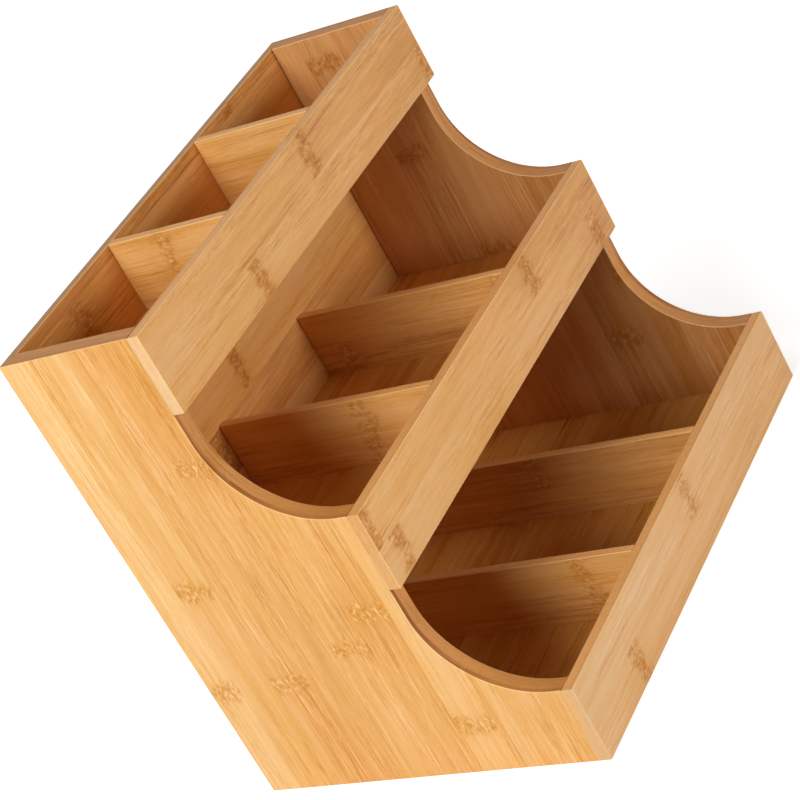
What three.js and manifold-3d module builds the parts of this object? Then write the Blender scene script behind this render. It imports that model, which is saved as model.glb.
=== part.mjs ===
// Tiered tea bag organizer: stair-shaped sides, one full-height back, and three trays with dividers.
// Millimetres, +Z up. The origin is the middle of the footprint, on the surface that the organizer stands on.
// The low front panels face -Y, and +X is the right-hand side seen from the front.
import * as THREE from "three";
import { RoundedBoxGeometry } from "three/addons/geometries/RoundedBoxGeometry.js";
import { mergeVertices } from "three/addons/utils/BufferGeometryUtils.js";
import Module from "manifold-3d";

// Driving dimensions
const OVERALL_WIDTH = 240; // across the outer faces of the sides
const TOP_TIER_DEPTH = 68; // from the back face to the front face of the top tier
const TIER_SETBACK = 46; // how much further forward each lower tier stands
const TIER_RISE = 90; // from the underside of one floor to the underside of the next
const FRONT_PANEL_HEIGHT = 35;
const SCOOP_RADIUS = 42; // quarter round in the sides, under each front panel but the lowest

// Board thicknesses
const SIDE_THICKNESS = 8;
const FRONT_THICKNESS = 5;
const BACK_THICKNESS = 4;
const FLOOR_THICKNESS = 4;
const DIVIDER_THICKNESS = 4;

// Joints and edges
const HOUSING_DEPTH = 3; // how far the floors and the back enter the sides
const GROOVE_DEPTH = 1.5; // how far a divider enters its floor
const GLUE_LINE = 0.1; // room for glue between two boards
const EASED_EDGE = 0.8; // radius that takes the sharpness off the edges of every board
const LEAST_STRAIGHT = 1; // shortest straight run left at either end of a scoop

// Fineness of the facets, and how far a cutting block runs past the face that it opens
const SCOOP_FACETS = 18;
const EDGE_FACETS = 1;
const CUT_OVERRUN = 1;

// Names, from the bottom up and from left to right
const TIER_NAMES = ["bottom", "middle", "top"];
const DIVIDER_NAMES = ["left", "right"];

// Bamboo tones
const SIDE_COLOUR = "#e0a95c";
const FRONT_COLOUR = "#cf9c5a";
const BACK_COLOUR = "#b9803f";
const FLOOR_COLOUR = "#a86f36";
const DIVIDER_COLOUR = "#c18a48";
const BAMBOO_ROUGHNESS = 0.55;

// Planes that the boards share
const topLevel = TIER_NAMES.length - 1;
const overallDepth = TOP_TIER_DEPTH + TIER_SETBACK * topLevel;
const overallHeight = TIER_RISE * topLevel + FRONT_PANEL_HEIGHT;
const backY = overallDepth / 2;
const backInnerY = backY - BACK_THICKNESS;
const innerHalfWidth = OVERALL_WIDTH / 2 - SIDE_THICKNESS;
const housedHalfWidth = innerHalfWidth + HOUSING_DEPTH - GLUE_LINE;
const tiers = TIER_NAMES.map(tierPlanes);

// Dividers share the width between the sides into equal compartments
const compartmentCount = DIVIDER_NAMES.length + 1;
const compartmentWidth = (2 * innerHalfWidth - DIVIDER_NAMES.length * DIVIDER_THICKNESS) / compartmentCount;
const dividers = DIVIDER_NAMES.map((name, index) => ({
  name,
  x: -innerHalfWidth + (index + 1) * compartmentWidth + (index + 0.5) * DIVIDER_THICKNESS,
}));

const wasm = await Module();
wasm.setup();

function tierPlanes(name, level) {
  const frontY = backY - TOP_TIER_DEPTH - TIER_SETBACK * (topLevel - level);
  const baseZ = TIER_RISE * level;
  return {
    name,
    frontY,
    innerFrontY: frontY + FRONT_THICKNESS + GLUE_LINE,
    baseZ,
    floorTopZ: baseZ + FLOOR_THICKNESS,
    rimZ: baseZ + FRONT_PANEL_HEIGHT,
  };
}

// Cutting: a closed geometry as a solid, and a solid back as a geometry
function solidFrom(geometry) {
  const bare = geometry.clone();
  bare.deleteAttribute("normal");
  bare.deleteAttribute("uv");
  const merged = mergeVertices(bare);
  const vertProperties = Float32Array.from(merged.attributes.position.array);
  const triVerts = Uint32Array.from(merged.index.array);
  return new wasm.Manifold(new wasm.Mesh({ numProp: 3, vertProperties, triVerts }));
}

function geometryFrom(solid) {
  const { vertProperties, triVerts } = solid.getMesh();
  const geometry = new THREE.BufferGeometry();
  geometry.setAttribute("position", new THREE.BufferAttribute(vertProperties, 3));
  geometry.setIndex(new THREE.BufferAttribute(triVerts, 1));
  geometry.computeVertexNormals();
  return geometry;
}

function cutAway(geometry, blocks) {
  const remainder = blocks.reduce((solid, block) => solid.subtract(solidFrom(block)), solidFrom(geometry));
  return geometryFrom(remainder);
}

// A block or board is given by its extents: [low, high] along X, Y and Z
function middle([low, high]) {
  return (low + high) / 2;
}

function length([low, high]) {
  return high - low;
}

function block(x, y, z) {
  const geometry = new THREE.BoxGeometry(length(x), length(y), length(z));
  return geometry.translate(middle(x), middle(y), middle(z));
}

function easedBoard(x, y, z) {
  return new RoundedBoxGeometry(length(x), length(y), length(z), EDGE_FACETS, EASED_EDGE);
}

function bambooMesh(name, geometry, colour) {
  const material = new THREE.MeshStandardMaterial({ color: colour, roughness: BAMBOO_ROUGHNESS, metalness: 0 });
  const mesh = new THREE.Mesh(geometry, material);
  mesh.name = name;
  return mesh;
}

function boardMesh(name, x, y, z, colour) {
  const mesh = bambooMesh(name, easedBoard(x, y, z), colour);
  mesh.position.set(middle(x), middle(y), middle(z));
  return mesh;
}

// Side panels: a stair outline in the YZ plane, with a quarter round in each inner corner
function sideOutline() {
  const scoopHeight = TIER_RISE - FRONT_PANEL_HEIGHT;
  const radius = Math.min(SCOOP_RADIUS, TIER_SETBACK - LEAST_STRAIGHT, scoopHeight - LEAST_STRAIGHT);
  const outline = new THREE.Shape();
  outline.moveTo(backY, 0);
  outline.lineTo(backY, overallHeight);
  for (let level = topLevel; level > 0; level -= 1) {
    const upper = tiers[level];
    const lower = tiers[level - 1];
    const arcZ = lower.rimZ + radius;
    outline.lineTo(upper.innerFrontY, upper.rimZ);
    outline.lineTo(upper.innerFrontY, arcZ);
    outline.absarc(upper.innerFrontY - radius, arcZ, radius, 0, -Math.PI / 2, true);
  }
  outline.lineTo(tiers[0].innerFrontY, tiers[0].rimZ);
  outline.lineTo(tiers[0].innerFrontY, 0);
  outline.closePath();
  return outline;
}

// Housings in the inner face of a side: one for each floor, open at the front, and one for the back
function sideHousings(hand) {
  const innerFaceX = (-hand * SIDE_THICKNESS) / 2;
  const housingX = [innerFaceX + hand * HOUSING_DEPTH, innerFaceX - hand * CUT_OVERRUN].sort((a, b) => a - b);
  const backHousing = block(
    housingX,
    [backInnerY - GLUE_LINE, backY + CUT_OVERRUN],
    [-CUT_OVERRUN, overallHeight + CUT_OVERRUN],
  );
  const floorHousings = tiers.map((tier, level) => {
    const undersideZ = level === 0 ? -CUT_OVERRUN : tier.baseZ - GLUE_LINE;
    return block(housingX, [tier.innerFrontY - CUT_OVERRUN, backInnerY], [undersideZ, tier.floorTopZ + GLUE_LINE]);
  });
  return [backHousing, ...floorHousings];
}

function sidePanel(name, hand) {
  const geometry = new THREE.ExtrudeGeometry(sideOutline(), {
    depth: SIDE_THICKNESS - 2 * EASED_EDGE,
    bevelThickness: EASED_EDGE,
    bevelSize: EASED_EDGE,
    bevelOffset: -EASED_EDGE,
    bevelSegments: EDGE_FACETS + 1,
    curveSegments: SCOOP_FACETS,
  });
  geometry.translate(0, 0, EASED_EDGE - SIDE_THICKNESS / 2);
  const outlineToSide = new THREE.Matrix4().makeBasis(
    new THREE.Vector3(0, 1, 0),
    new THREE.Vector3(0, 0, 1),
    new THREE.Vector3(1, 0, 0),
  );
  geometry.applyMatrix4(outlineToSide);
  const mesh = bambooMesh(name, cutAway(geometry, sideHousings(hand)), SIDE_COLOUR);
  mesh.position.x = (hand * (OVERALL_WIDTH - SIDE_THICKNESS)) / 2;
  return mesh;
}

function backPanel() {
  const x = [-housedHalfWidth, housedHalfWidth];
  return boardMesh("back_panel", x, [backInnerY, backY], [0, overallHeight], BACK_COLOUR);
}

// Front panels cover the front edges of the sides, and their ends are flush with the outer faces
function frontPanel(tier) {
  const x = [-OVERALL_WIDTH / 2, OVERALL_WIDTH / 2];
  const y = [tier.frontY, tier.frontY + FRONT_THICKNESS];
  return boardMesh(`${tier.name}_front_panel`, x, y, [tier.baseZ, tier.rimZ], FRONT_COLOUR);
}

// Floors run from the front panel to the back, with a groove under each divider
function floorBoard(tier) {
  const x = [-housedHalfWidth, housedHalfWidth];
  const y = [tier.innerFrontY, backInnerY - GLUE_LINE];
  const z = [tier.baseZ, tier.floorTopZ];
  const grooveHalfWidth = DIVIDER_THICKNESS / 2 + GLUE_LINE;
  const grooveHalfLength = length(y) / 2 + CUT_OVERRUN;
  const topZ = FLOOR_THICKNESS / 2;
  const grooves = dividers.map((divider) =>
    block(
      [divider.x - grooveHalfWidth, divider.x + grooveHalfWidth],
      [-grooveHalfLength, grooveHalfLength],
      [topZ - GROOVE_DEPTH, topZ + CUT_OVERRUN],
    ),
  );
  const mesh = bambooMesh(`${tier.name}_floor`, cutAway(easedBoard(x, y, z), grooves), FLOOR_COLOUR);
  mesh.position.set(middle(x), middle(y), middle(z));
  return mesh;
}

// Dividers stand in the floor's grooves and reach the rim of the front panel
function dividerBoard(tier, divider) {
  const x = [divider.x - DIVIDER_THICKNESS / 2, divider.x + DIVIDER_THICKNESS / 2];
  const y = [tier.innerFrontY, backInnerY - GLUE_LINE];
  const z = [tier.floorTopZ - GROOVE_DEPTH + GLUE_LINE, tier.rimZ];
  return boardMesh(`${tier.name}_divider_${divider.name}`, x, y, z, DIVIDER_COLOUR);
}

function tray(tier) {
  const group = new THREE.Group();
  group.add(floorBoard(tier), frontPanel(tier));
  for (const divider of dividers) {
    group.add(dividerBoard(tier, divider));
  }
  return group;
}

const organizer = new THREE.Group();
organizer.add(sidePanel("left_side_panel", -1), sidePanel("right_side_panel", 1), backPanel());
for (const tier of tiers) {
  organizer.add(tray(tier));
}

export default organizer;
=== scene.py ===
"""Looks of the tiered tea bag organizer: eased bamboo boards with laminated strips, fibres and node marks."""

import math
from collections import namedtuple

import bmesh
import bpy
from mathutils import Matrix, Vector

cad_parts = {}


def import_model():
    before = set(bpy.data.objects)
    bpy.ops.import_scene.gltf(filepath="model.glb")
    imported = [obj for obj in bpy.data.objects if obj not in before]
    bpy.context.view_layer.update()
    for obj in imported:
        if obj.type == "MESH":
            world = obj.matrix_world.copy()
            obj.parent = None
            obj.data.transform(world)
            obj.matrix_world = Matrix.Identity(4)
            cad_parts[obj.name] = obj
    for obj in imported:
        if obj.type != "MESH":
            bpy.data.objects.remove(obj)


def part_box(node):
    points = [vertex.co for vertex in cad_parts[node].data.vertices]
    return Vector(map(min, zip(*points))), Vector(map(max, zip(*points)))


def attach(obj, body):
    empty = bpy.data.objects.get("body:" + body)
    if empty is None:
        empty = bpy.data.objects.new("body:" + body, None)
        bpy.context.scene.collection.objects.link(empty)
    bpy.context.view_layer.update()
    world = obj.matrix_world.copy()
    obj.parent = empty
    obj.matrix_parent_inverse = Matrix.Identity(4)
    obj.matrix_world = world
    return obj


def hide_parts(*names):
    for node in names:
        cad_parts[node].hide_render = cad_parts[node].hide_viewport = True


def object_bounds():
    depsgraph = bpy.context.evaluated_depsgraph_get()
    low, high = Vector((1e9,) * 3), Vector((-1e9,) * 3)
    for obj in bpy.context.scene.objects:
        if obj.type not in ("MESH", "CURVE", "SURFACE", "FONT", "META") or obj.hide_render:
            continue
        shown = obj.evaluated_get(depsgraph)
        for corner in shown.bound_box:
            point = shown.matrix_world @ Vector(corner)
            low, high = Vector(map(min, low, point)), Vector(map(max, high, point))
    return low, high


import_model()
cad_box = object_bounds()

MM = 0.001

# Shapes
EASE_RADIUS = 0.5 * MM  # of every free edge
EASE_SEGMENTS = 3
ROUND_PROFILE = 0.5
SCOOP_RADIUS = 42 * MM
SCOOP_STEPS = 40
GLUE_LINE = 0.1 * MM  # around a floor in its housings and a divider in its groove
BACK_GAP = 0.5 * MM  # in front of the back in its housing, where it shows as a dark line
SEAM = 0.01 * MM  # between a front panel and the edges of the sides
HOUSING_DEPTH = 3 * MM
GROOVE_DEPTH = 1.5 * MM
CUT_OVERRUN = 1 * MM  # how far a cutting block runs past the face that it opens
SHARP_ANGLE = math.radians(30)  # edges sharper than this are eased
CREASE_ANGLE = math.radians(50)  # edges sharper than this stay creased in the shading
TOUCH = 0.01 * MM  # corners closer than this are at the same place

X, Y, Z = range(3)

TIERS = ("bottom", "middle", "top")
HANDS = ("left", "right")

# Axes of a board: the grain runs along the first, the strips lie side by side along the second,
# and the third goes through the board
UPRIGHT = (Z, Y, X)
ALONG_WIDTH = (X, Z, Y)
FLAT_ALONG_WIDTH = (X, Y, Z)
FRONT_TO_BACK = (Y, Z, X)

# A strip of a board: where it ends across the board and its node marks along it (both in mm), and its tone
Strip = namedtuple("Strip", "end tone nodes")

# A finish: the colours of the wood, its node stains, its edge as outer and inner ply and its end grain,
# the strength and length of its fibres, and how much the pale strokes of a node mark show
Finish = namedtuple("Finish", "dark middle pale node_stain edge end_grain contrast reach pale_strokes")

# A board: its node, slot, axes and strips, an end grain and a finish of its own where its slot's don't fit,
# and how much its tone drifts along the grain from end to end, which is painted light and shade
Board = namedtuple("Board", "node slot axes strips end_grain finish drift", defaults=[None, None, 0.0])


def srgb(red, green, blue):
    """Linear colour, with alpha, of a display colour given as 0 to 255."""
    def linear(value):
        value /= 255
        return value / 12.92 if value <= 0.04045 else ((value + 0.055) / 1.055) ** 2.4
    return (linear(red), linear(green), linear(blue), 1.0)


# Edges as outer and inner ply, and end grain
SIDE_EDGE = (srgb(150, 85, 26), srgb(206, 140, 74))
BOARD_EDGE = (srgb(222, 157, 90), srgb(230, 168, 102))
BACK_EDGE = (srgb(172, 124, 76), srgb(180, 132, 83))
SIDE_END = srgb(188, 126, 62)
PALE_END = srgb(232, 188, 132)

# Finishes by slot, and two more for single boards that differ from the rest of their slot
FINISHES = {
    "side_bamboo": Finish(
        dark=srgb(192, 118, 34),
        middle=srgb(218, 159, 81),
        pale=srgb(239, 196, 133),
        node_stain=srgb(212, 152, 72),
        edge=SIDE_EDGE,
        end_grain=SIDE_END,
        contrast=1.5,
        reach=2.3,
        pale_strokes=0.6,
    ),
    "brown_side": Finish(
        dark=srgb(170, 108, 44),
        middle=srgb(214, 156, 93),
        pale=srgb(236, 192, 134),
        node_stain=srgb(180, 114, 48),
        edge=SIDE_EDGE,
        end_grain=SIDE_END,
        contrast=0.85,
        reach=2.3,
        pale_strokes=0.3,
    ),
    "front_bamboo": Finish(
        dark=srgb(176, 107, 42),
        middle=srgb(221, 160, 87),
        pale=srgb(238, 196, 135),
        node_stain=srgb(186, 114, 36),
        edge=BOARD_EDGE,
        end_grain=PALE_END,
        contrast=0.95,
        reach=1.5,
        pale_strokes=0.3,
    ),
    "pale_front": Finish(
        dark=srgb(172, 108, 48),
        middle=srgb(215, 160, 96),
        pale=srgb(232, 196, 144),
        node_stain=srgb(198, 136, 64),
        edge=BOARD_EDGE,
        end_grain=PALE_END,
        contrast=0.9,
        reach=2.2,
        pale_strokes=0.4,
    ),
    "back_bamboo": Finish(
        dark=srgb(162, 93, 32),
        middle=srgb(219, 152, 76),
        pale=srgb(236, 190, 121),
        node_stain=srgb(182, 112, 42),
        edge=BACK_EDGE,
        end_grain=PALE_END,
        contrast=0.9,
        reach=2.2,
        pale_strokes=0.3,
    ),
    "floor_bamboo": Finish(
        dark=srgb(154, 86, 22),
        middle=srgb(219, 159, 75),
        pale=srgb(240, 198, 124),
        node_stain=srgb(176, 106, 36),
        edge=BOARD_EDGE,
        end_grain=PALE_END,
        contrast=1.2,
        reach=2.0,
        pale_strokes=0.3,
    ),
    "divider_bamboo": Finish(
        dark=srgb(164, 100, 38),
        middle=srgb(222, 164, 90),
        pale=srgb(240, 198, 136),
        node_stain=srgb(204, 142, 70),
        edge=BOARD_EDGE,
        end_grain=PALE_END,
        contrast=0.95,
        reach=2.4,
        pale_strokes=0.4,
    ),
}

BOARDS = [
    Board("left_side_panel", "side_bamboo", UPRIGHT, [
        Strip(-57.8, 0.58, []),
        Strip(-40.3, 0.57, []),
        Strip(-23.3, 0.67, [23.3]),
        Strip(-6.2, 0.50, [81.7]),
        Strip(12.0, 0.53, [66.0]),
        Strip(30.3, 0.44, [156.7]),
        Strip(47.8, 0.48, [52.5]),
        Strip(65.3, 0.62, [102.5]),
        Strip(80.0, 0.78, [52.5]),
    ]),
    Board("right_side_panel", "side_bamboo", UPRIGHT, [
        Strip(-61.0, 0.26, [12.0]),
        Strip(-43.5, 0.31, []),
        Strip(-26.0, 0.24, [72.0]),
        Strip(-8.5, 0.29, [40.0]),
        Strip(10.5, 0.42, []),
        Strip(28.0, 0.48, [95.8]),
        Strip(45.5, 0.40, [150.0]),
        Strip(63.0, 0.46, [202.0, 60.0]),
        Strip(80.0, 0.43, []),
    ], finish="brown_side"),
    # The back's tone slopes as painted light: it is lighter towards its right end, against the shade in the
    # corner there
    Board("back_panel", "back_bamboo", ALONG_WIDTH, [
        Strip(9.0, 0.34, [-70.0]),
        Strip(28.0, 0.28, [35.0]),
        Strip(47.0, 0.36, [-20.0]),
        Strip(66.0, 0.30, [82.0]),
        Strip(85.0, 0.36, [-95.0, 60.0]),
        Strip(104.0, 0.60, []),
        Strip(124.0, 0.36, [-44.5]),
        Strip(143.0, 0.58, [-11.0]),
        Strip(161.0, 0.47, [66.0]),
        Strip(176.0, 0.53, [-80.0]),
        Strip(191.0, 0.52, []),
        Strip(209.5, 0.50, [-73.0]),
        Strip(215.0, 0.36, [66.0]),
    ], drift=0.12),
    Board("bottom_floor", "floor_bamboo", FLAT_ALONG_WIDTH, [
        Strip(-57.0, 0.60, [-30.0]),
        Strip(-38.0, 0.55, [64.0]),
        Strip(-19.0, 0.63, []),
        Strip(0.0, 0.54, [-84.0]),
        Strip(19.0, 0.54, []),
        Strip(38.0, 0.45, [-10.0]),
        Strip(57.0, 0.56, [50.0]),
        Strip(76.0, 0.49, [-66.0]),
    ]),
    Board("middle_floor", "floor_bamboo", FLAT_ALONG_WIDTH, [
        Strip(-10.0, 0.54, []),
        Strip(8.0, 0.45, [-24.0]),
        Strip(26.0, 0.53, []),
        Strip(44.0, 0.47, [-20.0]),
        Strip(62.0, 0.56, []),
        Strip(76.0, 0.48, [-4.0]),
    ]),
    Board("top_floor", "floor_bamboo", FLAT_ALONG_WIDTH, [
        Strip(36.0, 0.48, [-60.0]),
        Strip(55.0, 0.55, [14.0]),
        Strip(76.0, 0.46, [74.0]),
    ]),
    # The front panels' tone slopes as painted shade: they are darker towards their right ends, away from the
    # light
    Board("bottom_front_panel", "front_bamboo", ALONG_WIDTH, [
        Strip(17.5, 0.57, [-75.0]),
        Strip(35.0, 0.56, [5.0]),
    ], end_grain=srgb(210, 172, 123), finish="pale_front", drift=-0.14),
    Board("middle_front_panel", "front_bamboo", ALONG_WIDTH, [
        Strip(107.5, 0.52, [-107.5, 105.0]),
        Strip(125.0, 0.49, [-119.0, 45.8]),
    ], end_grain=srgb(210, 158, 98), drift=-0.28),
    Board("top_front_panel", "front_bamboo", ALONG_WIDTH, [
        Strip(195.8, 0.49, [-45.0, 117.5]),
        Strip(215.0, 0.46, [17.5]),
    ], end_grain=srgb(222, 186, 138), drift=-0.14),
    Board("bottom_divider_left", "divider_bamboo", FRONT_TO_BACK, [
        Strip(18.5, 0.48, [-51.0]),
        Strip(35.0, 0.54, [-49.0]),
    ]),
    Board("bottom_divider_right", "divider_bamboo", FRONT_TO_BACK, [
        Strip(18.5, 0.42, []),
        Strip(35.0, 0.36, [4.3]),
    ]),
    Board("middle_divider_left", "divider_bamboo", FRONT_TO_BACK, [
        Strip(108.5, 0.49, [9.3]),
        Strip(125.0, 0.53, [6.8]),
    ]),
    Board("middle_divider_right", "divider_bamboo", FRONT_TO_BACK, [
        Strip(108.5, 0.43, [60.0]),
        Strip(125.0, 0.48, [-26.0]),
    ]),
    Board("top_divider_left", "divider_bamboo", FRONT_TO_BACK, [
        Strip(199.0, 0.50, [52.0]),
        Strip(215.0, 0.58, [50.7]),
    ]),
    Board("top_divider_right", "divider_bamboo", FRONT_TO_BACK, [
        Strip(203.5, 0.48, [30.0]),
        Strip(215.0, 0.57, []),
    ]),
]


# Pieces: eased boards around the frame's nodes

def ease(bm, is_free):
    """Round every sharp edge that is free, which is one that doesn't lie against another board."""
    edges = [edge for edge in bm.edges if edge.calc_face_angle() > SHARP_ANGLE and is_free(edge)]
    bmesh.ops.bevel(
        bm, geom=edges, offset=EASE_RADIUS, segments=EASE_SEGMENTS, profile=ROUND_PROFILE, affect="EDGES",
        clamp_overlap=True,
    )


def lies_at(edge, axis, value):
    """Whether both corners of an edge stand at a value of an axis."""
    return all(abs(corner.co[axis] - value) < TOUCH for corner in edge.verts)


def free_edges(slot, low, high):
    """The test that tells which edges of a board are free."""
    def at_end(edge):
        return lies_at(edge, X, low.x) or lies_at(edge, X, high.x)

    tests = {
        "front_bamboo": lambda edge: not (lies_at(edge, Y, high.y) and at_end(edge)),
        "divider_bamboo": lambda edge: not lies_at(edge, Z, low.z),
        "floor_bamboo": lambda edge: lies_at(edge, Z, low.z),
        "back_bamboo": lambda edge: not (lies_at(edge, Y, low.y) and at_end(edge)),
    }
    return tests[slot]


def free_side_edge(edge):
    """Whether an edge of a side is clear of the front panels."""
    for tier in TIERS:
        low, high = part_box(f"{tier}_front_panel")
        heights = [corner.co.z for corner in edge.verts]
        beside_panel = min(heights) > low.z - TOUCH and max(heights) < high.z + TOUCH
        if beside_panel and lies_at(edge, Y, front_edge(tier)):
            return False
    return True


def block_bmesh(low, high):
    """A block between two corners."""
    bm = bmesh.new()
    place = Matrix.Translation((low + high) / 2) @ Matrix.Diagonal(high - low).to_4x4()
    bmesh.ops.create_cube(bm, size=1.0, matrix=place)
    return bm


def shown(name, bm):
    """A new object in the scene with the shape of the bmesh, which is freed."""
    mesh = bpy.data.meshes.new(name)
    bm.to_mesh(mesh)
    bm.free()
    piece = bpy.data.objects.new(name, mesh)
    bpy.context.collection.objects.link(piece)
    return piece


def cut_away(piece, blocks):
    """Take the blocks, each given by its two corners, out of the piece."""
    cutters = [shown("cutter", block_bmesh(Vector(low), Vector(high))) for low, high in blocks]
    for cutter in cutters:
        modifier = piece.modifiers.new("cut", "BOOLEAN")
        modifier.operation = "DIFFERENCE"
        modifier.solver = "EXACT"
        modifier.object = cutter
    evaluated = piece.evaluated_get(bpy.context.evaluated_depsgraph_get())
    cut_mesh = bpy.data.meshes.new_from_object(evaluated)
    whole_mesh = piece.data
    piece.modifiers.clear()
    piece.data = cut_mesh
    bpy.data.meshes.remove(whole_mesh)
    cut_mesh.name = piece.name
    for cutter in cutters:
        bpy.data.meshes.remove(cutter.data)


def front_edge(tier):
    """Where the front edge of the sides stands, behind a tier's front panel."""
    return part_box(f"{tier}_front_panel")[1].y + SEAM


def side_outline():
    """Stair outline of a side as (y, z), from its lower back corner, with a scoop under each upper panel."""
    low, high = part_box("left_side_panel")
    points = [(high.y, low.z), (high.y, high.z)]
    for upper, lower in (("top", "middle"), ("middle", "bottom")):
        edge_y = front_edge(upper)
        centre_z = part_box(f"{lower}_front_panel")[1].z + SCOOP_RADIUS
        panel_low, panel_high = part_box(f"{upper}_front_panel")
        points.append((edge_y, panel_high.z))
        points.append((edge_y, panel_low.z + EASE_RADIUS))
        points.append((edge_y, panel_low.z))
        for step in range(SCOOP_STEPS + 1):
            turn = math.pi / 2 * step / SCOOP_STEPS
            arc_y = edge_y - SCOOP_RADIUS * (1 - math.cos(turn))
            arc_z = centre_z - SCOOP_RADIUS * math.sin(turn)
            points.append((arc_y, arc_z))
    points.append((front_edge("bottom"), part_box("bottom_front_panel")[1].z))
    points.append((front_edge("bottom"), low.z))
    return points


def side_piece(name, board):
    """A side: its outline drawn through its thickness, with eased edges and housings."""
    low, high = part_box(board.node)
    bm = bmesh.new()
    face = bm.faces.new([bm.verts.new((low.x, y, z)) for y, z in side_outline()])
    extruded = bmesh.ops.extrude_face_region(bm, geom=[face])["geom"]
    corners = [element for element in extruded if isinstance(element, bmesh.types.BMVert)]
    bmesh.ops.translate(bm, verts=corners, vec=(high.x - low.x, 0, 0))
    bmesh.ops.recalc_face_normals(bm, faces=bm.faces)
    ease(bm, free_side_edge)
    piece = shown(name, bm)
    cut_away(piece, side_housings(low, high))
    return piece


def side_housings(low, high):
    """Housings in the inner face of a side: one for the back and one for each floor."""
    if low.x < 0:
        housing_x = (high.x - HOUSING_DEPTH, high.x + CUT_OVERRUN)
    else:
        housing_x = (low.x - CUT_OVERRUN, low.x + HOUSING_DEPTH)
    back_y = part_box("back_panel")[0].y
    boxes = [((back_y - BACK_GAP, high.y + CUT_OVERRUN), (low.z - CUT_OVERRUN, high.z + CUT_OVERRUN))]
    for tier in TIERS:
        floor_low, floor_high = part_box(f"{tier}_floor")
        base_z = low.z - CUT_OVERRUN if tier == "bottom" else floor_low.z - GLUE_LINE
        boxes.append(((floor_low.y - CUT_OVERRUN, back_y), (base_z, floor_high.z + GLUE_LINE)))
    return [((housing_x[0], y[0], z[0]), (housing_x[1], y[1], z[1])) for y, z in boxes]


def board_piece(name, board):
    """A plain board with its free edges eased."""
    low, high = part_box(board.node)
    bm = block_bmesh(low, high)
    ease(bm, free_edges(board.slot, low, high))
    return shown(name, bm)


def floor_piece(name, board):
    """A tray floor: a board with a groove for each of its dividers."""
    piece = board_piece(name, board)
    low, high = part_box(board.node)
    tier = board.node.split("_")[0]
    grooves = []
    for hand in HANDS:
        divider_low, divider_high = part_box(f"{tier}_divider_{hand}")
        grooves.append((
            (divider_low.x - GLUE_LINE, low.y - CUT_OVERRUN, high.z - GROOVE_DEPTH),
            (divider_high.x + GLUE_LINE, high.y + CUT_OVERRUN, high.z + CUT_OVERRUN),
        ))
    cut_away(piece, grooves)
    return piece


def finish_piece(piece, board):
    """Shade a piece, give it its bamboo, and tie it to the frame."""
    piece.data.shade_smooth()
    piece.data.set_sharp_from_angle(angle=CREASE_ANGLE)
    normals = piece.modifiers.new("face_normals", "WEIGHTED_NORMAL")
    normals.keep_sharp = True
    piece.data.materials.clear()
    piece.data.materials.append(bamboo(board))
    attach(piece, "root")
    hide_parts(board.node)


# Materials

# Noise scales in cycles a metre: along the grain, across the strips and through the board.
# A step on a noise is given by where it starts and where it is full.
WOBBLE_SCALE = (90, 260, 260)
SWIRL_SCALE = (70, 110, 110)
ZONE_SCALE = (10, 110, 110)
PATCH_SCALE = (18, 40, 40)
HAIR_SCALE = (16, 900, 900)
SCRIBBLE_SCALE = (450, 800, 800)
SMEAR_SCALE = (130, 330, 330)
LAYER_SCALE = (30, 30, 700)
PORE_SCALE = (800, 700, 1100)

# How far a difference in tone moves the noise of one strip from that of another
SEED_SPREAD = 37.0

# Where a finish's colours stand among the tones, and what patches and broad fibres change in them
DARK_TONE = 0.1
MIDDLE_TONE = 0.5
PALE_TONE = 1.0
PATCH_SHARE = 0.30
SAME_HUE = 0.5
PATCH_HUE = -0.015
SAME_SATURATION = 1.0
FIBRE_SATURATION = -0.15

# Fibres by length and width, with their share of the tone
Fibre = namedtuple("Fibre", "length width share")
BROAD_FIBRE = Fibre(70 * MM, 7.0 * MM, 0.34)
LONG_FIBRE = Fibre(22 * MM, 1.6 * MM, 0.38)
FINE_FIBRE = Fibre(8 * MM, 0.5 * MM, 0.60)
DASH = Fibre(1.6 * MM, 0.6 * MM, 0.24)

# All but the broad fibres gather in zones, and so do the hairlines
ZONE_STEP = (-0.10, 0.12)
GATHERED_LEAST = 0.55
GATHERED_MORE = 0.9
DARK_HAIR_STEP = (0.10, 0.20)
DARK_HAIR_SHARE = -0.22
PALE_HAIR_STEP = (-0.10, -0.22)
PALE_HAIR_SHARE = 0.14

# Node marks of a strip: two at most, and a place off the board's end for one that it lacks
NODES_A_STRIP = 2
NO_NODE = 3.0

# How far a node mark reaches from its middle, and how near it is full: its strokes, its stain,
# and the halo where fibres swirl
NODE_RAGGED = 12 * MM
NODE_REACH = 5.5 * MM
NODE_CORE = 2.5 * MM
STAIN_REACH = 6.5 * MM
STAIN_CORE = 2 * MM
HALO_REACH = 18 * MM
HALO_SHARE = -0.06
SWIRL_REACH = 2.5 * MM

# The stain is smeared, and dark and pale strokes come from the two sides of one scribble
STAIN_SHARE = 0.65
SMEAR_STEP = (-0.20, 0.06)
SCRIBBLE_DETAIL = 1.5
SCRIBBLE_DISTORTION = 0.4
DARK_STROKE_STEP = (0.0, 0.11)
PALE_STROKE_STEP = (-0.04, -0.15)
STROKE_TINT = (0.87, 0.75, 0.52, 1.0)

# Edges and cut ends by how squarely the surface faces through the board or along the grain,
# with their plies, layers and pores, and the arris between them and the face,
# which is painted paler, partly as sanding and partly as a painted highlight
EDGE_FACING = (0.75, 0.35)
END_FACING = (0.55, 0.95)
PLY_SHARE = 0.27
PLY_BLUR = 1.8 * MM
LAYER_DETAIL = 4.0
LAYER_SHARE = 2.8
END_SHARE = 0.75
PORE_STEP = (0.0, 0.2)
PORE_SHARE = 0.28
END_PORE_SHARE = -0.1
PORE_TINT = (0.60, 0.50, 0.40, 1.0)
ARRIS_RISE = (0.15, 0.5)
ARRIS_FALL = (0.995, 0.9)
ARRIS_SANDING_AND_HIGHLIGHT = 0.5

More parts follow.
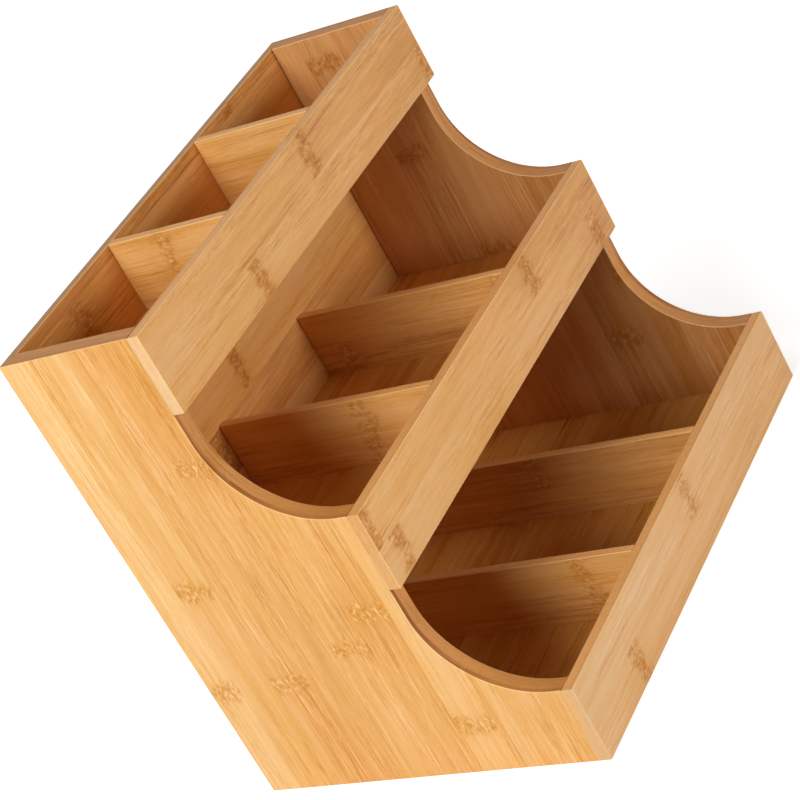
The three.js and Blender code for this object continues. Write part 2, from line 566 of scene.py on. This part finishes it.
# Surface: the gloss of plain wood, and what fibres, edges and stains change in it
ROUGHNESS = 0.5
FIBRE_ROUGHNESS = -0.25
WOOD_IOR = 1.45
SPECULAR = 0.5
EDGE_SPECULAR = -0.2
STAIN_SPECULAR = -0.4
COAT = 0.1
EDGE_COAT = -0.05
STAIN_COAT = -0.1
COAT_ROUGHNESS = 0.35
BUMP_STRENGTH = 0.2
BUMP_DISTANCE = 0.2 * MM
FIBRE_HEIGHT = 0.6
STROKE_HEIGHT = -0.06

# Colour sockets of a mix node
MIX_FIRST = 6
MIX_SECOND = 7
MIX_RESULT = 2


class Graph:
    """Short calls that build the nodes of one material or world."""

    def __init__(self, tree):
        self.tree = tree
        tree.nodes.clear()

    def feed(self, socket, value):
        """Link another node's output to a socket, or set a plain value on it."""
        if isinstance(value, bpy.types.NodeSocket):
            self.tree.links.new(value, socket)
        else:
            socket.default_value = value

    def node(self, kind, inputs=None, **settings):
        made = self.tree.nodes.new(kind)
        for name, value in settings.items():
            setattr(made, name, value)
        for name, value in (inputs or {}).items():
            self.feed(made.inputs[name], value)
        return made

    def math(self, operation, *values):
        return self.node("ShaderNodeMath", dict(enumerate(values)), operation=operation).outputs[0]

    def add(self, value, amount, weight):
        """The value plus the weighted amount."""
        return self.math("MULTIPLY_ADD", amount, weight, value)

    def step(self, value, start, end):
        """0 at start and 1 at end, with a smooth step between them."""
        inputs = {"Value": value, "From Min": start, "From Max": end}
        return self.node("ShaderNodeMapRange", inputs, interpolation_type="SMOOTHSTEP").outputs["Result"]

    def split(self, vector):
        return self.node("ShaderNodeSeparateXYZ", {0: vector}).outputs

    def noise(self, place, scale, seed, detail=2.0, distortion=0.0):
        """Noise about 0, stretched by its own scale along each axis."""
        stretched = self.node("ShaderNodeVectorMath", {0: place, 1: scale}, operation="MULTIPLY").outputs[0]
        inputs = {"Vector": stretched, "W": seed, "Scale": 1.0, "Detail": detail, "Distortion": distortion}
        made = self.node("ShaderNodeTexNoise", inputs, noise_dimensions="4D")
        return self.math("SUBTRACT", made.outputs["Fac"], 0.5)

    def ramp(self, factor, stops, interpolation):
        made = self.node("ShaderNodeValToRGB", {"Fac": factor})
        ramp = made.color_ramp
        ramp.interpolation = interpolation
        while len(ramp.elements) < len(stops):
            ramp.elements.new(1.0)
        for element, (position, colour) in zip(ramp.elements, stops):
            element.position = position
            element.color = colour
        return made.outputs["Color"]

    def mix(self, factor, first, second, blend="MIX"):
        """Two colours mixed, through the node's colour sockets, which share their names with other kinds."""
        inputs = {"Factor": factor, MIX_FIRST: first, MIX_SECOND: second}
        return self.node("ShaderNodeMix", inputs, data_type="RGBA", blend_type=blend).outputs[MIX_RESULT]


def new_material(name):
    """A material with no nodes yet, and the graph that builds them."""
    material = bpy.data.materials.new(name)
    material.use_nodes = True
    return material, Graph(material.node_tree)


def by_axis(axes, along, across, depth):
    """A vector with the given parts along a board's own axes."""
    parts = [0.0, 0.0, 0.0]
    for axis, part in zip(axes, (along, across, depth)):
        parts[axis] = part
    return parts


def strip_stops(board, low, high):
    """Ramp stops, one a strip: its tone, and the places of its node marks as shares of the board's length."""
    along, across = board.axes[0], board.axes[1]
    stops = []
    start = 0.0
    for strip in board.strips:
        places = [(place * MM - low[along]) / (high[along] - low[along]) for place in strip.nodes]
        places += [NO_NODE] * (NODES_A_STRIP - len(places))
        stops.append((start, (strip.tone, *places, 1.0)))
        start = (strip.end * MM - low[across]) / (high[across] - low[across])
    return stops


class Wood:
    """What the parts of one board's material share: its places, its strips and its noise."""

    def __init__(self, board):
        self.board = board
        self.finish = FINISHES[board.finish or board.slot]
        self.low, self.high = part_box(board.node)
        self.along, self.across, self.depth = board.axes
        self.material, self.graph = new_material(f"{board.node}_bamboo")
        coordinates = self.graph.node("ShaderNodeTexCoord")
        self.place = coordinates.outputs["Object"]
        self.parts = self.graph.split(self.place)
        self.normal = self.graph.split(coordinates.outputs["Normal"])
        stops = strip_stops(board, self.low, self.high)
        strip_values = self.graph.ramp(self.share(self.across), stops, "CONSTANT")
        strip_parts = self.graph.node("ShaderNodeSeparateColor", {0: strip_values}).outputs
        self.strip_tone = strip_parts[0]
        self.node_places = strip_parts[1:1 + NODES_A_STRIP]
        self.seed = self.graph.add(self.node_places[0], self.strip_tone, SEED_SPREAD)

    def share(self, axis):
        """0 at the board's low end along an axis, and 1 at its high end."""
        offset = self.graph.math("SUBTRACT", self.parts[axis], self.low[axis])
        return self.graph.math("DIVIDE", offset, self.high[axis] - self.low[axis])

    def noise(self, scale, place=None, **settings):
        """Noise with its own scale along each of the board's axes, drawn anew for each strip."""
        place = self.place if place is None else place
        return self.graph.noise(place, by_axis(self.board.axes, *scale), self.seed, **settings)


def node_marks(wood):
    """How much each place lies in a node mark: in its core, its smeared stain and the halo around it."""
    graph = wood.graph
    start = wood.low[wood.along]
    length = wood.high[wood.along] - start
    wobble = wood.noise(WOBBLE_SCALE)
    core = stain = halo = 0.0
    for share in wood.node_places:
        node_place = graph.add(start, share, length)
        offset = graph.math("ABSOLUTE", graph.math("SUBTRACT", wood.parts[wood.along], node_place))
        ragged = graph.add(offset, wobble, NODE_RAGGED)
        core = graph.math("MAXIMUM", core, graph.step(ragged, NODE_REACH, NODE_CORE))
        stain = graph.math("MAXIMUM", stain, graph.step(ragged, STAIN_REACH, STAIN_CORE))
        halo = graph.math("MAXIMUM", halo, graph.step(offset, HALO_REACH, 0.0))
    smear = graph.step(wood.noise(SMEAR_SCALE), *SMEAR_STEP)
    stain = graph.math("MULTIPLY", graph.math("MULTIPLY", stain, smear), STAIN_SHARE)
    return core, stain, halo


def swirled_place(wood, halo):
    """The place that fibres are drawn at: they run straight, but swirl a little by a node."""
    graph = wood.graph
    swirl = graph.math("MULTIPLY", wood.noise(SWIRL_SCALE), halo)
    across = by_axis(wood.board.axes, 0, SWIRL_REACH, 0)
    shift = graph.node("ShaderNodeVectorMath", {0: across, "Scale": swirl}, operation="SCALE").outputs[0]
    return graph.node("ShaderNodeVectorMath", {0: wood.place, 1: shift}, operation="ADD").outputs[0]


def grain(wood, halo):
    """The tone of the wood, the noise of its broad, long and fine fibres and dashes, and its slow patches."""
    graph = wood.graph
    contrast = wood.finish.contrast
    place = swirled_place(wood, halo)
    from_middle = graph.math("SUBTRACT", wood.share(wood.along), 0.5)
    # Painted light and shade: the tone slopes from one end of the board to the other along the grain
    tone = graph.add(wood.strip_tone, from_middle, wood.board.drift)
    zone = graph.step(wood.noise(ZONE_SCALE), *ZONE_STEP)
    gathering = graph.add(GATHERED_LEAST, zone, GATHERED_MORE)
    fibres = []
    for kind in (BROAD_FIBRE, LONG_FIBRE, FINE_FIBRE, DASH):
        length = kind.length * wood.finish.reach
        fibre = wood.noise((1 / length, 1 / kind.width, 1 / kind.width), place)
        fibres.append(fibre)
        gathered = fibre if kind is BROAD_FIBRE else graph.math("MULTIPLY", fibre, gathering)
        tone = graph.add(tone, gathered, kind.share * contrast)
    patches = wood.noise(PATCH_SCALE)
    tone = graph.add(tone, patches, PATCH_SHARE)
    hairs = wood.noise(HAIR_SCALE, place)
    for step, share in ((DARK_HAIR_STEP, DARK_HAIR_SHARE), (PALE_HAIR_STEP, PALE_HAIR_SHARE)):
        gathered = graph.math("MULTIPLY", graph.step(hairs, *step), zone)
        tone = graph.add(tone, gathered, share * contrast)
    tone = graph.add(tone, halo, HALO_SHARE)
    return tone, fibres, patches


def ply_line(low, high, depth_axis):
    """Where the outer ply of a board turns into its inner one: the outer side is away from the middle."""
    thickness = high[depth_axis] - low[depth_axis]
    if low[depth_axis] + high[depth_axis] > 0:
        line = high[depth_axis] - PLY_SHARE * thickness
        return line + PLY_BLUR / 2, line - PLY_BLUR / 2
    line = low[depth_axis] + PLY_SHARE * thickness
    return line - PLY_BLUR / 2, line + PLY_BLUR / 2


def with_edges(wood, colour):
    """The face colour with the board's edges in it, and how much of an edge each place is.

    Edges show two plies and their layers, cut ends show end grain, and the eased arris is painted paler,
    partly as sanding and partly as a painted highlight.
    """
    graph = wood.graph
    finish = wood.finish
    facing = graph.math("ABSOLUTE", wood.normal[wood.depth])
    edge = graph.step(facing, *EDGE_FACING)
    end = graph.step(graph.math("ABSOLUTE", wood.normal[wood.along]), *END_FACING)
    layers = wood.noise(LAYER_SCALE, detail=LAYER_DETAIL)
    ply = graph.step(wood.parts[wood.depth], *ply_line(wood.low, wood.high, wood.depth))
    edge_colour = graph.mix(graph.add(ply, layers, LAYER_SHARE), *finish.edge)
    end_share = graph.add(END_SHARE, layers, -LAYER_SHARE)
    end_colour = graph.mix(end_share, edge_colour, wood.board.end_grain or finish.end_grain)
    edge_colour = graph.mix(end, edge_colour, end_colour)
    pores = graph.step(wood.noise(PORE_SCALE), *PORE_STEP)
    pore_share = graph.math("MULTIPLY", pores, graph.add(PORE_SHARE, end, END_PORE_SHARE))
    edge_colour = graph.mix(pore_share, edge_colour, PORE_TINT, "MULTIPLY")
    colour = graph.mix(edge, colour, edge_colour)
    # Partly sanding and partly a painted highlight: the eased arris is mixed towards the pale colour
    arris = graph.math("MULTIPLY", graph.step(facing, *ARRIS_RISE), graph.step(facing, *ARRIS_FALL))
    colour = graph.mix(graph.math("MULTIPLY", arris, ARRIS_SANDING_AND_HIGHLIGHT), colour, finish.pale)
    return colour, edge


def bamboo(board):
    """Laminated bamboo: strips with their own tones, long fibres, node marks, plies and end grain."""
    wood = Wood(board)
    graph = wood.graph
    finish = wood.finish
    core, stain, halo = node_marks(wood)
    tone, fibres, patches = grain(wood, halo)
    broad_fibres, long_fibres, fine_fibres, _ = fibres

    # A node mark is a stain right across its strip, with a scribble of brown and pale strokes on it
    scribble = wood.noise(SCRIBBLE_SCALE, detail=SCRIBBLE_DETAIL, distortion=SCRIBBLE_DISTORTION)
    dark_strokes = graph.math("MULTIPLY", graph.step(scribble, *DARK_STROKE_STEP), core)
    pale_strokes = graph.math("MULTIPLY", graph.step(scribble, *PALE_STROKE_STEP), core)
    tones = [(DARK_TONE, finish.dark), (MIDDLE_TONE, finish.middle), (PALE_TONE, finish.pale)]
    colour = graph.ramp(tone, tones, "LINEAR")
    colour = graph.mix(stain, colour, finish.node_stain)
    colour = graph.mix(dark_strokes, colour, STROKE_TINT, "MULTIPLY")
    colour = graph.mix(graph.math("MULTIPLY", pale_strokes, finish.pale_strokes), colour, finish.pale)
    tinted = graph.node("ShaderNodeHueSaturation", {
        "Color": colour,
        "Hue": graph.add(SAME_HUE, patches, PATCH_HUE),
        "Saturation": graph.add(SAME_SATURATION, broad_fibres, FIBRE_SATURATION),
    })
    colour, edge = with_edges(wood, tinted.outputs[0])

    height = graph.add(graph.math("MULTIPLY", fine_fibres, FIBRE_HEIGHT), dark_strokes, STROKE_HEIGHT)
    bump_inputs = {"Strength": BUMP_STRENGTH, "Distance": BUMP_DISTANCE, "Height": height}
    bump = graph.node("ShaderNodeBump", bump_inputs)
    specular = graph.add(SPECULAR, edge, EDGE_SPECULAR)
    coat = graph.add(COAT, edge, EDGE_COAT)
    shader = graph.node("ShaderNodeBsdfPrincipled", {
        "Base Color": colour,
        "Roughness": graph.add(ROUGHNESS, long_fibres, FIBRE_ROUGHNESS),
        "IOR": WOOD_IOR,
        "Specular IOR Level": graph.add(specular, stain, STAIN_SPECULAR),
        "Coat Weight": graph.add(coat, stain, STAIN_COAT),
        "Coat Roughness": COAT_ROUGHNESS,
        "Normal": bump.outputs["Normal"],
    })
    graph.node("ShaderNodeOutputMaterial", {"Surface": shader.outputs[0]})
    return wood.material


# Stage: floor, world, lights and camera

WHITE = (1.0, 1.0, 1.0, 1.0)
FLOOR_SIZE = 8.0
FLOOR_GAP = 0.1 * MM
FLOOR_COLOUR = (0.9, 0.9, 0.9, 1.0)
FLOOR_GLOW = 0.65  # near the object, and it rises to 1, which is white, from FLOOR_NEAR to FLOOR_FAR
FLOOR_NEAR = 0.6
FLOOR_FAR = 1.6
WORLD_LIGHT = 0.03

# Camera: angles in degrees, lens and sensor in mm
CAMERA_TARGET = Vector((-41.4, -13.9, 121.8)) * MM
CAMERA_DISTANCE = 1.0
CAMERA_AZIMUTH = -50.98
CAMERA_ELEVATION = 24.79
CAMERA_ROLL = -29.82
CAMERA_LENS = 117.27
SENSOR_WIDTH = 36.0

# Lamps: azimuth and elevation in degrees, size in metres and power in watts
LAMP_DISTANCE = 1.6
Lamp = namedtuple("Lamp", "name azimuth elevation size power")
LAMPS = (
    Lamp("key", -88, 23, 0.9, 16.8),
    Lamp("front_fill", 4, 12, 0.5, 12.6),
    Lamp("overhead", -120, 60, 1.0, 8.5),
    Lamp("right_fill", 90, 6, 0.5, 4.5),
    Lamp("back_fill", 178, 8, 0.5, 4.5),
)


def direction(azimuth, elevation):
    """Unit vector to a place round the object: azimuth 0 is the front, negative is to its left."""
    turn = math.radians(azimuth)
    rise = math.radians(elevation)
    return Vector((math.sin(turn) * math.cos(rise), -math.cos(turn) * math.cos(rise), math.sin(rise)))


def seen_by_eye(graph):
    """1 for rays that show the background itself or its reflection, and 0 for rays that only carry light."""
    path = graph.node("ShaderNodeLightPath").outputs
    eye = graph.math("MAXIMUM", path["Is Camera Ray"], path["Is Glossy Ray"])
    return graph.math("MAXIMUM", eye, path["Is Transmission Ray"])


def floor():
    """A wide floor that glows for the eye, so that it looks white without more light on the object."""
    bm = bmesh.new()
    bmesh.ops.create_grid(bm, x_segments=1, y_segments=1, size=FLOOR_SIZE / 2)
    piece = shown("floor", bm)
    piece.location.z = -FLOOR_GAP
    material, graph = new_material("floor_white")
    paper = graph.node("ShaderNodeBsdfDiffuse", {"Color": FLOOR_COLOUR})
    place = graph.node("ShaderNodeTexCoord").outputs["Object"]
    reach = graph.node("ShaderNodeVectorMath", {0: place}, operation="LENGTH").outputs["Value"]
    level = graph.math("MULTIPLY_ADD", graph.step(reach, FLOOR_NEAR, FLOOR_FAR), 1.0 - FLOOR_GLOW, FLOOR_GLOW)
    glow = graph.node("ShaderNodeEmission", {"Strength": graph.math("MULTIPLY", seen_by_eye(graph), level)})
    both = graph.node("ShaderNodeAddShader", {0: paper.outputs[0], 1: glow.outputs[0]})
    graph.node("ShaderNodeOutputMaterial", {"Surface": both.outputs[0]})
    piece.data.materials.append(material)


def world():
    """A backdrop that looks white and gives a little light from all round."""
    made = bpy.data.worlds.new("studio")
    made.use_nodes = True
    bpy.context.scene.world = made
    graph = Graph(made.node_tree)
    strength = graph.math("MULTIPLY_ADD", seen_by_eye(graph), 1.0 - WORLD_LIGHT, WORLD_LIGHT)
    backdrop = graph.node("ShaderNodeBackground", {"Color": WHITE, "Strength": strength})
    graph.node("ShaderNodeOutputWorld", {"Surface": backdrop.outputs[0]})


def lamp(name, azimuth, elevation, size, power):
    """A round soft lamp that faces the middle of the object."""
    light = bpy.data.lights.new(name, "AREA")
    light.shape = "DISK"
    light.size = size
    light.energy = power
    made = bpy.data.objects.new(name, light)
    toward = direction(azimuth, elevation)
    made.location = (Vector(cad_box[0]) + Vector(cad_box[1])) / 2 + toward * LAMP_DISTANCE
    made.rotation_euler = toward.to_track_quat("Z", "Y").to_euler()
    bpy.context.collection.objects.link(made)


def camera():
    """The camera, turned about its line of sight like the photo's."""
    made = bpy.data.cameras.new("camera")
    made.lens = CAMERA_LENS
    made.sensor_width = SENSOR_WIDTH
    eye = bpy.data.objects.new("camera", made)
    toward = direction(CAMERA_AZIMUTH, CAMERA_ELEVATION)
    level = toward.to_track_quat("Z", "Y").to_matrix().to_4x4()
    roll = Matrix.Rotation(math.radians(CAMERA_ROLL), 4, "Z")
    eye.matrix_world = Matrix.Translation(CAMERA_TARGET + toward * CAMERA_DISTANCE) @ level @ roll
    bpy.context.collection.objects.link(eye)
    bpy.context.scene.camera = eye


# Scene: each board, then the stage around them

MAKERS = {"side_bamboo": side_piece, "floor_bamboo": floor_piece}

for board in BOARDS:
    make = MAKERS.get(board.slot, board_piece)
    finish_piece(make(f"{board.node}_board", board), board)

floor()
world()
for each in LAMPS:
    lamp(*each)
camera()
bpy.context.scene.view_settings.view_transform = "Standard"
